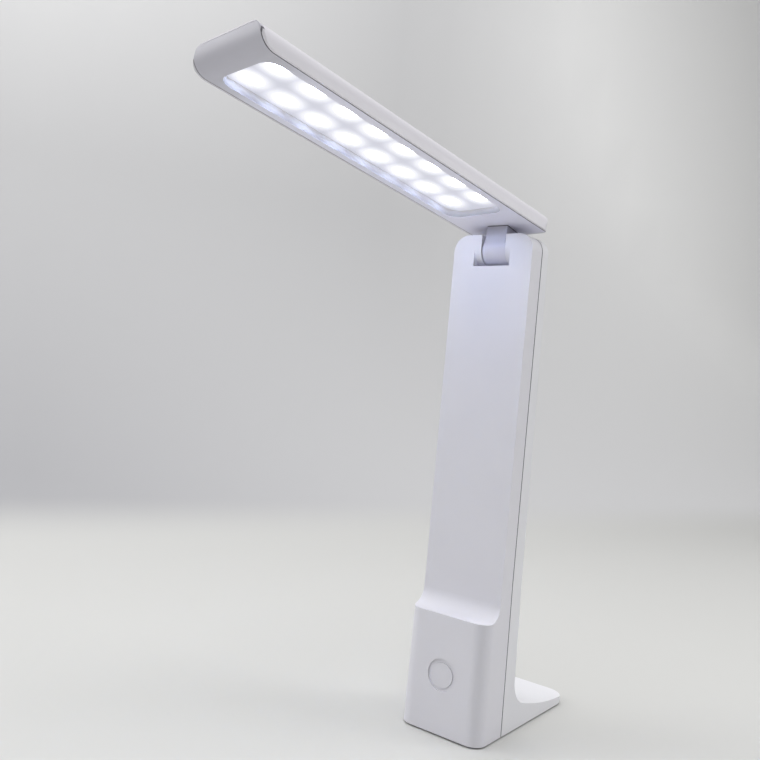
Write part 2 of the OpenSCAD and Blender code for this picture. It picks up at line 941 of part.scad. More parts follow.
// Lower moulding of the head: frame round the window, skin of the tip and hub on the neck
module head_frame() {
    color("whitesmoke")
    on_neck()
        difference() {
            union() {
                intersection() {
                    head_body();
                    frame_zone();
                }
                cylinder(r = hub_r, h = hub_t);
                window_shade();
                light_ridge();
                frame_clips();
            }
            translate([0, 0, -cut]) cylinder(r = spigot_r + run_fit, h = hub_t + 2 * cut);
            translate([0, window_mid, 0])
                tall(-cut, window_depth + cut)
                    round_rect(window_w, window_l, window_r);
        }
}

// Upright wall round the window, which shades the light and carries the diffuser
module window_shade() {
    translate([0, window_mid, 0])
        tall(head_wall / 2, window_depth)
            round_rect(window_w + 2 * window_wall, window_l + 2 * window_wall, window_r + window_wall);
}

// Outer wall round the diffuser that carries the light board
module light_ridge() {
    inner = ridge_out - ridge_t;
    translate([0, window_mid, 0])
        tall(head_wall / 2, board_level)
            difference() {
                round_rect(window_w + 2 * ridge_out, window_l + 2 * ridge_out, window_r + ridge_out);
                round_rect(window_w + 2 * inner, window_l + 2 * inner, window_r + inner);
            }
}

// Upright clips along both sides of the frame, beside the light board
module frame_clips() {
    clip_x = window_w / 2 + ridge_out + play;
    for (i = [0 : clip_count - 1]) both()
        translate([clip_x, -window_start - i * clip_pitch, head_wall / 2])
            cube([clip_size[0], clip_size[1], clip_size[2] - head_wall / 2]);
}

// Frosted diffuser: a thin sheet that lies on the wall round the window
module diffuser() {
    color("azure")
    on_neck()
        translate([0, window_mid, 0])
            tall(window_depth, window_depth + diffuser_t)
                round_rect(window_w + 2 * window_wall, window_l + 2 * window_wall, window_r + window_wall);
}

// Light board above the diffuser
module led_board() {
    color("ghostwhite")
    on_neck()
        translate([0, window_mid, 0])
            tall(board_level, board_level + led_board_t)
                round_rect(window_w + 2 * ridge_out, window_l + 2 * ridge_out, window_r + ridge_out);
}

// Two rows of light sources on the underside of the board
module leds() {
    color("lightyellow")
    on_neck()
        for (i = [0 : led_count - 1], side = [-1, 1])
            translate([side * led_row_x, -led_start - i * led_pitch, board_level - led_size[2] / 2])
                cube(led_size, center = true);
}

// Round wire through a list of points, with round joints
module wire(points) {
    for (i = [0 : len(points) - 2]) {
        run = points[i + 1] - points[i];
        translate(points[i])
            rotate([0, acos(run[2] / norm(run)), atan2(run[1], run[0])])
                cylinder(r = wire_r, h = norm(run), $fn = 24);
        if (i > 0)
            translate(points[i]) sphere(wire_joint_r, $fn = 24);
    }
}

// Pair of wires from the button board's top edge up the column and into the hollow shaft
module column_wires() {
    board_y = front_y + board_front + board_t / 2;
    board_top = button_z + button_board_size[2] / 2;
    color("firebrick")
        for (side = [-wire_pair, wire_pair])
            wire([[wire_start_x + side, board_y, board_top],
                  [wire_start_x + side, board_y, board_top + 2 * wire_bend],
                  [wire_x + side, axis_y, ledge_h],
                  [wire_x + side, axis_y, axis_z + side - wire_bend],
                  [wire_x + side - wire_bend, axis_y, axis_z + side],
                  [wire_r, axis_y, axis_z + side]]);
}

// Pair of wires from the hollow spigot up over the nut to the light board
module head_wires() {
    board_end = window_mid + window_l / 2 + ridge_out + wire_r / 2;
    over = spigot_top - face_up + 2 * wire_r;
    color("firebrick")
    on_neck()
        for (side = [-wire_pair, wire_pair])
            wire([[side, 0, shaft_r + 2 * wire_r - face_up],
                  [side, 0, over - 3 * wire_r],
                  [side, -3 * wire_r, over],
                  [side, -2 * swivel_nut_r, over],
                  [side, board_end, board_level + led_board_t / 2]]);
}

front_shell();
rear_shell();
base_plate();
foot_pad();
base_screws();
counterweight();
battery_pack();
button_board();
button_switch();
board_screws();
power_button();
switch_plunger();
charge_board();
usb_socket();
usb_tongue();
charge_indicator();
hinge_shaft();
hinge_washers();
hinge_nut();
knuckle();
swivel_washer();
swivel_nut();
head_cover();
head_frame();
diffuser();
led_board();
leds();
column_wires();
head_wires();
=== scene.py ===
import math

import bpy
import numpy as np
from mathutils import Matrix, Vector

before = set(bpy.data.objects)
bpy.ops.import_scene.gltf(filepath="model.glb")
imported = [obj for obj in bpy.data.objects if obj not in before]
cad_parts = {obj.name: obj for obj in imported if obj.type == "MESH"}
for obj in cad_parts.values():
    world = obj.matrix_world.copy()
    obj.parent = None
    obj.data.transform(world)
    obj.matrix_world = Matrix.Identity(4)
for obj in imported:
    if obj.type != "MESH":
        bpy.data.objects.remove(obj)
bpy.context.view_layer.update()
mm = 0.001
print("stage: frame loaded")


def linearColour(code):
    # hex sRGB to linear: c / 12.92 near black, else ((c + 0.055) / 1.055) to the power 2.4
    parts = [int(code[i:i + 2], 16) / 255 for i in (1, 3, 5)]
    return tuple(c / 12.92 if c <= 0.04045 else ((c + 0.055) / 1.055) ** 2.4 for c in parts) + (1.0,)


def addNode(tree, kind, settings=None, inputs=None):
    # one node with its settings; an input is a number, a colour, an output of another node, or
    # another node, of which the first output in use is then linked
    made = tree.nodes.new("ShaderNode" + kind)
    for name, value in (settings or {}).items():
        setattr(made, name, value)
    for name, value in (inputs or {}).items():
        if isinstance(value, bpy.types.Node):
            value = next(output for output in value.outputs if output.enabled)
        if isinstance(value, bpy.types.NodeSocket):
            tree.links.new(value, made.inputs[name])
        else:
            made.inputs[name].default_value = value
    return made


# settings that many nodes share, and the inputs of a map range that falls from 1 to 0
mixColours = {"data_type": "RGBA"}
smoothly = {"interpolation_type": "SMOOTHSTEP"}
intoAxes = {"vector_type": "TEXTURE"}
falling = {"To Min": 1.0, "To Max": 0.0}


def newMaterial(name):
    # a material whose node tree is still empty
    material = bpy.data.materials.new(name)
    material.use_nodes = True
    material.node_tree.nodes.clear()
    return material, material.node_tree


def dress(nodeNames, material):
    # one material for every slot of these nodes of the frame
    for name in nodeNames:
        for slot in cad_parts[name].material_slots:
            slot.material = material


# yaw, pitch, roll and lens were fitted to the straight edges seen in the photograph
cameraFacts = {
    "place": (234.255 * mm, -434.811 * mm, 188.554 * mm),
    "yaw": 37.742,
    "pitch": 0.301,
    "roll": 5.171,
    "lens": 38.509,
    "sensor": 36,
    "nearest": 0.01,
    "farthest": 20,
}


def makeCamera(facts):
    # forward from yaw and pitch, then right and up turned about it by the roll
    yaw, pitch, roll = (math.radians(facts[key]) for key in ("yaw", "pitch", "roll"))
    level = math.cos(pitch)
    forward = Vector((-math.sin(yaw) * level, math.cos(yaw) * level, math.sin(pitch)))
    right = Vector((math.cos(yaw), math.sin(yaw), 0))
    up = right.cross(forward)
    turnedRight = math.cos(roll) * right + math.sin(roll) * up
    turnedUp = math.cos(roll) * up - math.sin(roll) * right
    data = bpy.data.cameras.new("camera")
    data.sensor_width = facts["sensor"]
    data.sensor_fit = "HORIZONTAL"
    data.lens = facts["lens"]
    data.clip_start = facts["nearest"]
    data.clip_end = facts["farthest"]
    made = bpy.data.objects.new("camera", data)
    bpy.context.collection.objects.link(made)
    turn = Matrix((turnedRight, turnedUp, -forward)).transposed().to_4x4()
    made.matrix_world = Matrix.Translation(Vector(facts["place"])) @ turn
    bpy.context.scene.camera = made


makeCamera(cameraFacts)
print("stage: camera placed")


# the head's own axes start on the hinge axis: x across, y from the tip to the tail, z up from the
# lit face; its light sources stand in two rows at both sides of the middle
headFacts = {
    "tilt": 9.2,
    "swivel": 7.0,
    "axis": (0, -32.35 * mm, 269.8 * mm),
    "faceUp": 12.5 * mm,
    "rowX": 9.5 * mm,
    "firstSpot": 37.8 * mm,
    "pitch": 19.77 * mm,
    "spots": 8,
}
headTurn = (Matrix.Rotation(-math.radians(headFacts["tilt"]), 3, "X")
            @ Matrix.Rotation(-math.radians(headFacts["swivel"]), 3, "Z"))


# the share of a painted gap's half width that is fully dark; the rest of it fades out
fullyDark = 0.6


def shadowGap(tree, place, colour, facts):
    # a dark line at the distance "at" from the origin along a direction, or at both sides of the
    # origin where it is mirrored; the darkness is smooth in |distance - at|, from 1 at its fully dark
    # share to 0 at the half width. The real gaps are 0.1 to 0.3 mm, too fine for the render, so each
    # is drawn wider
    direction = Vector(facts["along"])
    start = direction.dot(Vector(facts["origin"]))
    reach = addNode(tree, "VectorMath", {"operation": "DOT_PRODUCT"}, {0: place, 1: direction})
    side = addNode(tree, "Math", {"operation": "SUBTRACT"}, {0: reach, 1: start})
    if facts["mirrored"]:
        side = addNode(tree, "Math", {"operation": "ABSOLUTE"}, {0: side})
    past = addNode(tree, "Math", {"operation": "SUBTRACT"}, {0: side, 1: facts["at"]})
    width = addNode(tree, "Math", {"operation": "ABSOLUTE"}, {0: past})
    band = addNode(tree, "MapRange", smoothly,
                   {"Value": width, "From Min": fullyDark * facts["halfWidth"],
                    "From Max": facts["halfWidth"], **falling})
    return addNode(tree, "Mix", mixColours,
                   {"Factor": band, "A": colour, "B": linearColour(facts["dark"])})


def paintedRecessShade(tree, place, colour, facts):
    # painted shade on recessed walls: inside a box in the head's own axes, where the largest of
    # |offset| - half size is under 0, the colour runs from "outer" at the box's foot to "inner" at its top
    middle = Vector(facts["origin"]) + headTurn @ Vector(facts["centre"])
    own = addNode(tree, "Mapping", intoAxes,
                  {"Vector": place, "Location": middle, "Rotation": headTurn.to_euler("XYZ")})
    folded = addNode(tree, "VectorMath", {"operation": "ABSOLUTE"}, {0: own})
    past = addNode(tree, "VectorMath", {"operation": "SUBTRACT"}, {0: folded, 1: facts["half"]})
    over = addNode(tree, "SeparateXYZ", {}, {"Vector": past}).outputs
    level = addNode(tree, "Math", {"operation": "MAXIMUM"}, {0: over["X"], 1: over["Y"]})
    largest = addNode(tree, "Math", {"operation": "MAXIMUM"}, {0: level, 1: over["Z"]})
    inside = addNode(tree, "MapRange", {},
                     {"Value": largest, "From Min": -facts["edge"], "From Max": facts["edge"], **falling})
    axes = addNode(tree, "SeparateXYZ", {}, {"Vector": own}).outputs
    depth = addNode(tree, "MapRange", {},
                    {"Value": axes["Z"], "From Min": -facts["half"][2], "From Max": facts["half"][2]})
    tint = addNode(tree, "Mix", mixColours,
                   {"Factor": depth, "A": linearColour(facts["outer"]),
                    "B": linearColour(facts["inner"])})
    return addNode(tree, "Mix", mixColours, {"Factor": inside, "A": colour, "B": tint})


def paintedLightFade(tree, place, colour, facts):
    # painted light: a smooth change to a second, paler colour along a direction, all of it before
    # "full", none after "none"
    direction = Vector(facts["along"])
    start = direction.dot(Vector(facts["origin"]))
    reach = addNode(tree, "VectorMath", {"operation": "DOT_PRODUCT"}, {0: place, 1: direction})
    share = addNode(tree, "MapRange", smoothly,
                    {"Value": reach, "From Min": start + facts["full"],
                     "From Max": start + facts["none"], **falling})
    return addNode(tree, "Mix", mixColours,
                   {"Factor": share, "A": colour, "B": linearColour(facts["colour"])})


# what all moulded pieces share: each piece's pattern is moved by its seed along "drift", pits are a
# little finer than the grain, the relief is grain by its share plus pits, and gloss follows streaks
# plus pits by their share, over the range "uneven"
mouldSkin = {
    "ior": 1.53,
    "drift": (1, 0.7, 0),
    "cloudDetail": 3.0,
    "streakDetail": 2.0,
    "pitDetail": 3.0,
    "grainShare": 0.6,
    "grainSoftness": 0.8,
    "pitFineness": 1.7,
    "pitShare": 0.5,
    "uneven": (0.35, 1.15),
    "relief": 0.05 * mm,
}
# how far the roughness of any finish wanders below and above its own value
glossier = 0.06
duller = 0.08


def mouldedAbs(name, facts, gaps=(), paintedFade=None, recessShade=None):
    # injection-moulded ABS from a spark-eroded tool: the eye reads an even satin, a faint
    # cloud in the pigment, and slightly glossier streaks where the melt flowed along the part
    material, tree = newMaterial(name)
    place = addNode(tree, "TexCoord").outputs["Object"]
    drift = [facts["seed"] * share for share in mouldSkin["drift"]]
    moved = addNode(tree, "Mapping", {}, {"Vector": place, "Location": drift})
    cloud = addNode(tree, "TexNoise", {},
                    {"Vector": moved, "Scale": 1 / (facts["cloudMm"] * mm),
                     "Detail": mouldSkin["cloudDetail"]})
    colour = addNode(tree, "Mix", mixColours,
                     {"Factor": cloud, "A": linearColour(facts["shade"]),
                      "B": linearColour(facts["white"])})
    # painted light along a direction, where a piece carries it
    if paintedFade:
        colour = paintedLightFade(tree, place, colour, paintedFade)
    # painted shade on the recessed walls of the window, where a piece carries it
    if recessShade:
        colour = paintedRecessShade(tree, place, colour, recessShade)
    for gap in gaps:
        colour = shadowGap(tree, place, colour, gap)
    # streaks: the same noise, drawn out along the flow
    flow = addNode(tree, "Mapping", {}, {"Vector": moved, "Scale": facts["flow"]})
    streak = addNode(tree, "TexNoise", {},
                     {"Vector": flow, "Scale": 1 / (facts["streakMm"] * mm),
                      "Detail": mouldSkin["streakDetail"]})
    # real grain is about 0.05 mm; it is drawn at 0.35 to 0.4 mm so that the render can show it
    grainScale = 1 / (facts["grainMm"] * mm)
    grain = addNode(tree, "TexVoronoi", {"feature": "SMOOTH_F1"},
                    {"Vector": moved, "Scale": grainScale, "Smoothness": mouldSkin["grainSoftness"]})
    pits = addNode(tree, "TexNoise", {},
                   {"Vector": moved, "Scale": mouldSkin["pitFineness"] * grainScale,
                    "Detail": mouldSkin["pitDetail"]})
    relief = addNode(tree, "Math", {"operation": "MULTIPLY_ADD"},
                     {0: grain, 1: mouldSkin["grainShare"], 2: pits})
    uneven = addNode(tree, "Math", {"operation": "MULTIPLY_ADD"},
                     {0: pits, 1: mouldSkin["pitShare"], 2: streak})
    least, most = mouldSkin["uneven"]
    gloss = addNode(tree, "MapRange", {},
                    {"Value": uneven, "From Min": least, "From Max": most,
                     "To Min": facts["roughness"] - glossier, "To Max": facts["roughness"] + duller})
    bump = addNode(tree, "Bump", {},
                   {"Height": relief, "Strength": facts["bump"], "Distance": mouldSkin["relief"]})
    shader = addNode(tree, "BsdfPrincipled", {},
                     {"Base Color": colour, "Roughness": gloss, "Normal": bump, "IOR": mouldSkin["ior"]})
    addNode(tree, "OutputMaterial", {}, {"Surface": shader})
    return material


# the groove between the two shells of the stand
standSeam = {"along": (0, 1, 0), "origin": (0, 0, 0), "at": -28.55 * mm, "mirrored": False,
             "halfWidth": 0.4 * mm, "dark": "#75747B"}

frontShell = {"white": "#E4E3E9", "shade": "#DDDCE3", "roughness": 0.42, "bump": 0.10, "seed": 0.0,
              "cloudMm": 34, "streakMm": 3.0, "flow": (1, 1, 0.08), "grainMm": 0.4}
dress(["front_shell"], mouldedAbs("mouldedAbsFrontShell", frontShell, [standSeam]))

rearShell = {"white": "#EAEAEE", "shade": "#E3E3E8", "roughness": 0.44, "bump": 0.10, "seed": 0.31,
             "cloudMm": 34, "streakMm": 3.0, "flow": (1, 1, 0.08), "grainMm": 0.4}
dress(["rear_shell"], mouldedAbs("mouldedAbsRearShell", rearShell, [standSeam]))

headCover = {"white": "#E4E2E8", "shade": "#DDDBE2", "roughness": 0.40, "bump": 0.08, "seed": 0.57,
             "cloudMm": 30, "streakMm": 3.0, "flow": (1, 0.08, 1), "grainMm": 0.4}
dress(["head_cover"], mouldedAbs("mouldedAbsHeadCover", headCover))

# painted shade: the frame is painted a darker, bluish white than the cover, for its downward face
headFrame = {"white": "#C9C8D1", "shade": "#C1C0CA", "roughness": 0.46, "bump": 0.08, "seed": 0.83,
             "cloudMm": 30, "streakMm": 3.0, "flow": (1, 0.08, 1), "grainMm": 0.4}
# the parting line along both sides of the frame
frameEdge = {"along": headTurn @ Vector((1, 0, 0)), "origin": headFacts["axis"], "at": 23.5 * mm,
             "mirrored": True, "halfWidth": 0.35 * mm, "dark": "#6C6B73"}
# painted shade on the walls of the window, right beside the light, deepest at the foot: the window's
# own box grown by a margin, with its foot just above the lit face
windowFacts = {"width": 37 * mm, "length": 162.7 * mm, "start": 24.2 * mm, "depth": 3.8 * mm,
               "margin": 0.4 * mm, "aboveFace": 0.05 * mm}
windowWallShade = {
    "origin": headFacts["axis"],
    "centre": (0, -windowFacts["start"] - windowFacts["length"] / 2,
               headFacts["faceUp"] + windowFacts["depth"] / 2 + 2 * windowFacts["aboveFace"]),
    "half": (windowFacts["width"] / 2 + windowFacts["margin"],
             windowFacts["length"] / 2 + windowFacts["margin"],
             windowFacts["depth"] / 2 + windowFacts["aboveFace"]),
    "edge": 0.05 * mm,
    "outer": "#908E8F",
    "inner": "#E3E1E2",
}
# painted light: glow from the lit column and floor, painted paler and bluer over the whole lit face
# as far as the tip
framePaintedLight = {"along": headTurn @ Vector((0, -1, 0)), "origin": headFacts["axis"],
             "full": 158 * mm, "none": 188 * mm, "colour": "#E8E7F6"}
dress(["head_frame"],
      mouldedAbs("mouldedAbsHeadFrame", headFrame, [frameEdge], framePaintedLight, windowWallShade))

# painted shade: the neck is painted a darker, bluish white, for the shade of the head above it
neckPaintedShade = {"white": "#B5B4C1", "shade": "#AEADBB", "roughness": 0.36, "bump": 0.06, "seed": 1.13,
             "cloudMm": 12, "streakMm": 2.0, "flow": (1, 1, 0.2), "grainMm": 0.35}
# the gap that lets the head turn on the neck
neckTop = {"along": headTurn @ Vector((0, 0, 1)), "origin": headFacts["axis"], "at": 12.45 * mm,
           "mirrored": False, "halfWidth": 0.6 * mm, "dark": "#4E4D55"}
# painted light: the round of the knuckle is painted paler, out of the painted shade of the head
knucklePaintedLight = {"along": neckTop["along"], "origin": headFacts["axis"],
            "full": -3 * mm, "none": 4 * mm, "colour": "#D0CFDC"}
dress(["knuckle"], mouldedAbs("mouldedAbsKnuckle", neckPaintedShade, [neckTop], knucklePaintedLight))

buttonCap = {"white": "#E1E0E6", "shade": "#DAD9E0", "roughness": 0.38, "bump": 0.06, "seed": 1.37,
             "cloudMm": 9, "streakMm": 2.0, "flow": (1, 0.2, 1), "grainMm": 0.35}
dress(["power_button"], mouldedAbs("mouldedAbsButtonCap", buttonCap))
print("stage: moulded plastic dressed")

# the pane unlit, then the tint and strength of its glow: between the light sources, in the spot
# over each of them and in the spot's bright core; the spots are drawn out a little along the rows
diffuserPane = {
    "pane": "#8C8D94",
    "between": "#D9DAE6",
    "white": "#FFFFFF",
    "cool": "#9DBCFF",
    "spotRadius": 12.0 * mm,
    "coreRadius": 5.5 * mm,
    "betweenGlow": 0.62,
    "spotGlow": 1.17,
    "coreGlow": 40,
    "drawnOut": 0.84,
    "frostMm": 0.5,
    "frostDetail": 3.0,
    "gloss": (0.38, 0.52),
    "bump": 0.1,
    "relief": 0.03 * mm,
    "ior": 1.49,
}


def litDiffuser(name, head, facts):
    # frosted acrylic sheet, sand-blasted on the inside: each light source behind it shows as a
    # white spot with no edge, over a pane that glows evenly and a little cooler
    material, tree = newMaterial(name)
    origin = Vector(head["axis"]) + headTurn @ Vector((0, 0, head["faceUp"]))
    place = addNode(tree, "TexCoord").outputs["Object"]
    own = addNode(tree, "Mapping", intoAxes,
                  {"Vector": place, "Location": origin, "Rotation": headTurn.to_euler("XYZ")})
    axes = addNode(tree, "SeparateXYZ", {}, {"Vector": own}).outputs
    # across: distance from the nearer row
    side = addNode(tree, "Math", {"operation": "ABSOLUTE"}, {0: axes["X"]})
    across = addNode(tree, "Math", {"operation": "SUBTRACT"}, {0: side, 1: head["rowX"]})
    # along: place in pitches from the first spot, less the nearest one, and then shortened, which
    # draws the spots out
    steps = addNode(tree, "Math", {"operation": "MULTIPLY_ADD"},
                    {0: axes["Y"], 1: -1 / head["pitch"], 2: -head["firstSpot"] / head["pitch"]})
    nearest = addNode(tree, "Math", {"operation": "ROUND"}, {0: steps})
    held = addNode(tree, "Clamp", {}, {"Value": nearest, "Min": 0.0, "Max": head["spots"] - 1})
    off = addNode(tree, "Math", {"operation": "SUBTRACT"}, {0: steps, 1: held})
    along = addNode(tree, "Math", {"operation": "MULTIPLY"},
                    {0: off, 1: facts["drawnOut"] * head["pitch"]})
    fromSpot = addNode(tree, "CombineXYZ", {}, {"X": across, "Y": along})
    far = addNode(tree, "VectorMath", {"operation": "LENGTH"}, {0: fromSpot})
    spot = addNode(tree, "MapRange", smoothly, {"Value": far, "From Max": facts["spotRadius"], **falling})
    core = addNode(tree, "MapRange", smoothly, {"Value": far, "From Max": facts["coreRadius"], **falling})
    paneTint = addNode(tree, "Mix", mixColours,
                       {"Factor": spot, "A": linearColour(facts["between"]),
                        "B": linearColour(facts["white"])})
    tint = addNode(tree, "Mix", mixColours,
                   {"Factor": core, "A": paneTint, "B": linearColour(facts["cool"])})
    paneGlow = addNode(tree, "MapRange", {},
                       {"Value": spot, "To Min": facts["betweenGlow"], "To Max": facts["spotGlow"]})
    glow = addNode(tree, "Math", {"operation": "MULTIPLY_ADD"},
                   {0: core, 1: facts["coreGlow"], 2: paneGlow})
    # blasted frost of about 0.1 mm, drawn at 0.5 mm
    frost = addNode(tree, "TexNoise", {},
                    {"Vector": place, "Scale": 1 / (facts["frostMm"] * mm),
                     "Detail": facts["frostDetail"]})
    glossy, dull = facts["gloss"]
    gloss = addNode(tree, "MapRange", {}, {"Value": frost, "To Min": glossy, "To Max": dull})
    bump = addNode(tree, "Bump", {},
                   {"Height": frost, "Strength": facts["bump"], "Distance": facts["relief"]})
    shader = addNode(tree, "BsdfPrincipled", {},
                     {"Base Color": linearColour(facts["pane"]), "Roughness": gloss, "Normal": bump,
                      "IOR": facts["ior"], "Emission Color": tint, "Emission Strength": glow})
    addNode(tree, "OutputMaterial", {}, {"Surface": shader})
    return material


dress(["diffuser"], litDiffuser("frostedAcrylicLit", headFacts, diffuserPane))
print("stage: diffuser dressed")


# what the plain finishes share: detail of the grain and strength of its relief
plainSkin = {"detail": 4.0, "bump": 0.3}


def grainyFinish(name, facts):
    # two close shades of one material mixed by its grain, which also drives gloss and relief;
    # "stretch" draws the grain out along the way that the surface was turned, drawn or wound
    material, tree = newMaterial(name)
    place = addNode(tree, "TexCoord").outputs["Object"]
    stretch = facts.get("stretch", (1, 1, 1))
    drawn = addNode(tree, "Mapping", {}, {"Vector": place, "Scale": stretch})
    grain = addNode(tree, "TexNoise", {},
                    {"Vector": drawn, "Scale": 1 / (facts["grainMm"] * mm),
                     "Detail": plainSkin["detail"]})
    colour = addNode(tree, "Mix", mixColours,
                     {"Factor": grain, "A": linearColour(facts["dark"]),
                      "B": linearColour(facts["light"])})
    gloss = addNode(tree, "MapRange", {},
                    {"Value": grain, "To Min": facts["roughness"] - glossier,
                     "To Max": facts["roughness"] + duller})
    bump = addNode(tree, "Bump", {},
                   {"Height": grain, "Strength": plainSkin["bump"], "Distance": facts["reliefMm"] * mm})
    shader = addNode(tree, "BsdfPrincipled", {},
                     {"Base Color": colour, "Roughness": gloss, "Metallic": facts.get("metallic", 0.0),
                      "Normal": bump})
    addNode(tree, "OutputMaterial", {}, {"Surface": shader})
    return material


# moulded silicone with a fine matt skin, dark enough to read as the shadow gap under the base
footPad = {"light": "#5C5C62", "dark": "#4A4A50", "roughness": 0.72, "grainMm": 0.5, "reliefMm": 0.03}
dress(["foot_pad"], grainyFinish("siliconeRubberGrey", footPad))

# moulded ABS plate, a shade greyer than the shells
basePlate = {"light": "#CDCDD3", "dark": "#C2C2C9", "roughness": 0.5, "grainMm": 0.5, "reliefMm": 0.02}
dress(["base_plate"], grainyFinish("mouldedAbsBasePlate", basePlate))

# zinc-plated steel: bright with a soft bluish bloom
screws = {"light": "#BEC0C6", "dark": "#9C9EA5", "roughness": 0.35, "grainMm": 0.4, "reliefMm": 0.01,
          "metallic": 1.0}
dress(["base_screws", "board_screws"], grainyFinish("zincPlatedScrew", screws))

# sand-cast iron with its coarse skin
weight = {"light": "#6E7075", "dark": "#54565B", "roughness": 0.62, "grainMm": 0.9, "reliefMm": 0.08,
          "metallic": 1.0}
dress(["counterweight"], grainyFinish("castIronWeight", weight))

# heat-shrunk PVC film: glossy, with creases that run round the pack
pack = {"light": "#2F62A3", "dark": "#244F89", "roughness": 0.24, "grainMm": 2.2, "reliefMm": 0.06,
        "stretch": (0.3, 0.3, 1)}
dress(["battery_pack"], grainyFinish("shrinkFilmBlue", pack))

# black glass-filled nylon with short pale fibres just under the skin
switchBody = {"light": "#26262A", "dark": "#161618", "roughness": 0.5, "grainMm": 0.5, "reliefMm": 0.01,
              "stretch": (1, 0.25, 1)}
dress(["button_switch", "switch_plunger", "usb_tongue"], grainyFinish("glassFilledNylon", switchBody))

# drawn and nickel-plated steel shell: fine lines along the draw
socketShell = {"light": "#C8C8CA", "dark": "#AAAAAE", "roughness": 0.24, "grainMm": 0.3,
               "reliefMm": 0.005, "metallic": 1.0, "stretch": (1, 0.1, 1)}
dress(["usb_socket"], grainyFinish("nickelPlatedSocket", socketShell))

# clear acrylic rod, dull where it was cut
indicator = {"light": "#DFEAE4", "dark": "#CEDBD4", "roughness": 0.16, "grainMm": 0.4, "reliefMm": 0.01}
dress(["charge_indicator"], grainyFinish("clearAcrylicRod", indicator))

# turned steel: rings of the tool run round the shaft, so the grain is short along it
hingeSteel = {"light": "#AEB0B5", "dark": "#8A8C92", "roughness": 0.33, "grainMm": 0.35,
              "reliefMm": 0.01, "metallic": 1.0, "stretch": (1, 0.12, 0.12)}
dress(["hinge_shaft", "hinge_washers", "hinge_nut"], grainyFinish("turnedSteelAcross", hingeSteel))
swivelSteel = {**hingeSteel, "stretch": (0.12, 0.12, 1)}
dress(["swivel_washer", "swivel_nut"], grainyFinish("turnedSteelUpright", swivelSteel))

# silicone wire cover, smooth with a dull bloom
wireCover = {"light": "#93302B", "dark": "#7B211E", "roughness": 0.48, "grainMm": 0.6, "reliefMm": 0.01}
dress(["column_wires", "head_wires"], grainyFinish("siliconeWireCover", wireCover))

# gel with yellow phosphor over each chip
chips = {"light": "#F3F0CB", "dark": "#E6E0AC", "roughness": 0.35, "grainMm": 0.3, "reliefMm": 0.01}
dress(["leds"], grainyFinish("phosphorGel", chips))


def printedBoard(name, facts):
    # solder mask over etched copper: tracks show as a brick pattern in a second shade, raised by
    # their thickness, on bricks that are "run" rows long
    material, tree = newMaterial(name)
    place = addNode(tree, "TexCoord").outputs["Object"]
    turned = addNode(tree, "Mapping", {}, {"Vector": place, "Rotation": facts["turn"]})
    step = facts["stepMm"] * mm
    tracks = addNode(tree, "TexBrick", {},
                     {"Vector": turned, "Color1": linearColour(facts["mask"]),
                      "Color2": linearColour(facts["maskDeep"]), "Mortar": linearColour(facts["track"]),
                      "Scale": 1.0, "Mortar Size": facts["trackMm"] * mm,
                      "Brick Width": facts["run"] * step, "Row Height": step})
    bump = addNode(tree, "Bump", {},
                   {"Height": tracks.outputs["Fac"], "Strength": facts["bump"],
                    "Distance": facts["copperMm"] * mm})
    mottle = addNode(tree, "TexNoise", {},
                     {"Vector": place, "Scale": 1 / (facts["mottleMm"] * mm),
                      "Detail": facts["mottleDetail"]})
    glossy, dull = facts["gloss"]
    gloss = addNode(tree, "MapRange", {}, {"Value": mottle, "To Min": glossy, "To Max": dull})
    shader = addNode(tree, "BsdfPrincipled", {},
                     {"Base Color": tracks.outputs["Color"], "Roughness": gloss, "Normal": bump})
    addNode(tree, "OutputMaterial", {}, {"Surface": shader})
    return material


uprightBoards = {"mask": "#1C6438", "maskDeep": "#1A5F35", "track": "#2C8450", "trackMm": 0.35,
                 "stepMm": 2.2, "run": 3, "copperMm": 0.035, "bump": 0.4, "mottleMm": 0.6,
                 "mottleDetail": 3.0, "gloss": (0.26, 0.42), "turn": (math.radians(90), 0, 0)}
dress(["button_board"], printedBoard("solderMaskGreenUpright", uprightBoards))
levelBoards = {**uprightBoards, "turn": (0, 0, 0)}
dress(["charge_board"], printedBoard("solderMaskGreenLevel", levelBoards))
lightBoard = {**uprightBoards, "mask": "#EDEDED", "maskDeep": "#EAEAEA", "track": "#DFDCD2",
              "trackMm": 0.5, "stepMm": 4.0,
              "turn": (math.radians(headFacts["tilt"]), 0, math.radians(headFacts["swivel"]))}
dress(["led_board"], printedBoard("solderMaskWhite", lightBoard))
print("stage: inner pieces dressed")

# pale paper sweep: level, then a quarter bend, then upright behind the lamp, with "rows" for each of
# the three. How pale it is, which is painted light and painted shade, follows its rise, which is
# height over riseSpan, and the distance to both sides of "middle": the last three lines are factors
# of rise squared, rise and 1, for the whole paper and for what its right and its left add
sweep = {
    "halfWidth": 3.0,
    "frontY": -2.5,
    "bendY": 0.43,
    "bend": 0.5,
    "top": 2.6,
    "turn": 66.4,
    "rows": (12, 24, 16),
    "columns": 61,
    "roughness": 0.9,
    "floor": "#CDCDCB",
    "low": "#AEAEB1",
    "high": "#FFFFFF",
    "floorEdge": 0.03,
    "middle": 0.42,
    "leftSpan": 0.62,
    "riseSpan": 0.9,
    "easing": 1.2,
    "plain": (0.05, 0.31),
    "toRight": (0.9, 0.65, 0.34),
    "toLeft": (0.76, -0.35),
}


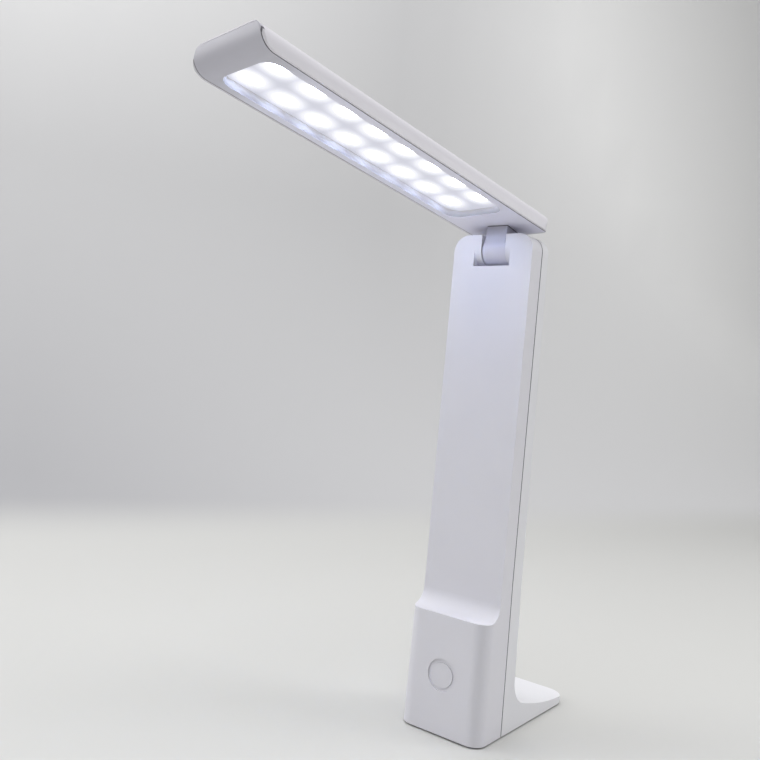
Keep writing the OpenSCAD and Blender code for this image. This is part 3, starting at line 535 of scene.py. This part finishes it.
def makeSweep(facts):
    # profile: a level line, an arc (bend sin a, bend (1 - cos a)) and an upright line; the width
    # coordinate runs across it, and the whole is turned about the upright axis
    levelRows, bentRows, uprightRows = facts["rows"]
    arc = np.linspace(0, math.pi / 2, bentRows)
    level = np.linspace(facts["frontY"], facts["bendY"], levelRows)[:-1]
    upright = np.linspace(facts["bend"], facts["top"], uprightRows)[1:]
    y = np.concatenate([level, facts["bendY"] + facts["bend"] * np.sin(arc),
                        np.full(upright.size, facts["bendY"] + facts["bend"])])
    z = np.concatenate([np.zeros(level.size), facts["bend"] * (1 - np.cos(arc)), upright])
    x = np.linspace(-facts["halfWidth"], facts["halfWidth"], facts["columns"])
    across, back = np.meshgrid(x, y)
    high = np.broadcast_to(z[:, None], across.shape)
    turn = math.radians(facts["turn"])
    points = np.stack([across * math.cos(turn) - back * math.sin(turn),
                       across * math.sin(turn) + back * math.cos(turn), high], axis=-1)
    rows, columns = across.shape
    index = np.arange(rows * columns).reshape(rows, columns)
    corners = [index[:-1, :-1], index[:-1, 1:], index[1:, 1:], index[1:, :-1]]
    quads = np.stack(corners, axis=-1).reshape(-1, 4)
    mesh = bpy.data.meshes.new("paperSweep")
    mesh.from_pydata(points.reshape(-1, 3).tolist(), [], quads.tolist())
    mesh.polygons.foreach_set("use_smooth", np.ones(len(quads), dtype=bool))
    # painted light and painted shade: paler with height, most of all at the right; at the left it is
    # darker low down
    rise = np.clip(high / facts["riseSpan"], 0, 1)
    right = np.clip(across - facts["middle"], 0, 1) ** facts["easing"]
    left = np.clip((facts["middle"] - across) / facts["leftSpan"], 0, 1) ** facts["easing"]
    pale = (np.polyval(facts["plain"], rise) + right * np.polyval(facts["toRight"], rise)
            + left * np.polyval(facts["toLeft"], rise))
    shares = np.clip(pale, 0, 1).astype(np.float32).ravel()
    mesh.attributes.new("pale", "FLOAT", "POINT").data.foreach_set("value", shares)
    mesh.update()
    made = bpy.data.objects.new("paperSweep", mesh)
    bpy.context.collection.objects.link(made)
    # matt coated paper: no sheen; an even floor, and above it a tone that changes slowly, which is
    # painted light and painted shade
    material, tree = newMaterial("mattPaper")
    place = addNode(tree, "TexCoord").outputs["Object"]
    height = addNode(tree, "SeparateXYZ", {}, {"Vector": place}).outputs["Z"]
    start = addNode(tree, "MapRange", smoothly, {"Value": height, "From Max": facts["floorEdge"]})
    own = addNode(tree, "Attribute", {"attribute_name": "pale"}).outputs["Fac"]
    wall = addNode(tree, "Mix", mixColours,
                   {"Factor": own, "A": linearColour(facts["low"]), "B": linearColour(facts["high"])})
    tint = addNode(tree, "Mix", mixColours,
                   {"Factor": start, "A": linearColour(facts["floor"]), "B": wall})
    shader = addNode(tree, "BsdfPrincipled", {}, {"Base Color": tint, "Roughness": facts["roughness"]})
    addNode(tree, "OutputMaterial", {}, {"Surface": shader})
    made.data.materials.append(material)


makeSweep(sweep)

# one soft box above and one at each side, in metres and watts, in an evenly pale room
lamps = {
    "airStrength": 0.18,
    "top": {"place": (0.0, -0.3, 1.6), "aim": (0, 0, 0.1), "size": 1.6, "power": 23.5},
    "left": {"place": (-1.2, -0.9, 0.75), "aim": (0, 0, 0.12), "size": 0.8, "power": 7.6},
    "right": {"place": (1.15, 0.75, 0.7), "aim": (0, 0, 0.12), "size": 0.8, "power": 7.1},
}


def softbox(name, facts):
    # a square area lamp at its place, turned until its own -z points at the aim
    data = bpy.data.lights.new(name, "AREA")
    data.size = facts["size"]
    data.energy = facts["power"]
    made = bpy.data.objects.new(name, data)
    bpy.context.collection.objects.link(made)
    made.location = facts["place"]
    toward = Vector(facts["aim"]) - Vector(facts["place"])
    made.rotation_euler = toward.to_track_quat("-Z", "Y").to_euler()


for side in ("top", "left", "right"):
    softbox(side + "Softbox", lamps[side])
world = bpy.data.worlds.new("studioAir")
bpy.context.scene.world = world
world.use_nodes = True
world.node_tree.nodes.clear()
air = addNode(world.node_tree, "Background", {},
              {"Color": linearColour("#FFFFFF"), "Strength": lamps["airStrength"]})
addNode(world.node_tree, "OutputWorld", {}, {"Surface": air})
bpy.context.scene.view_settings.view_transform = "Standard"
print("stage: studio and lamps made")
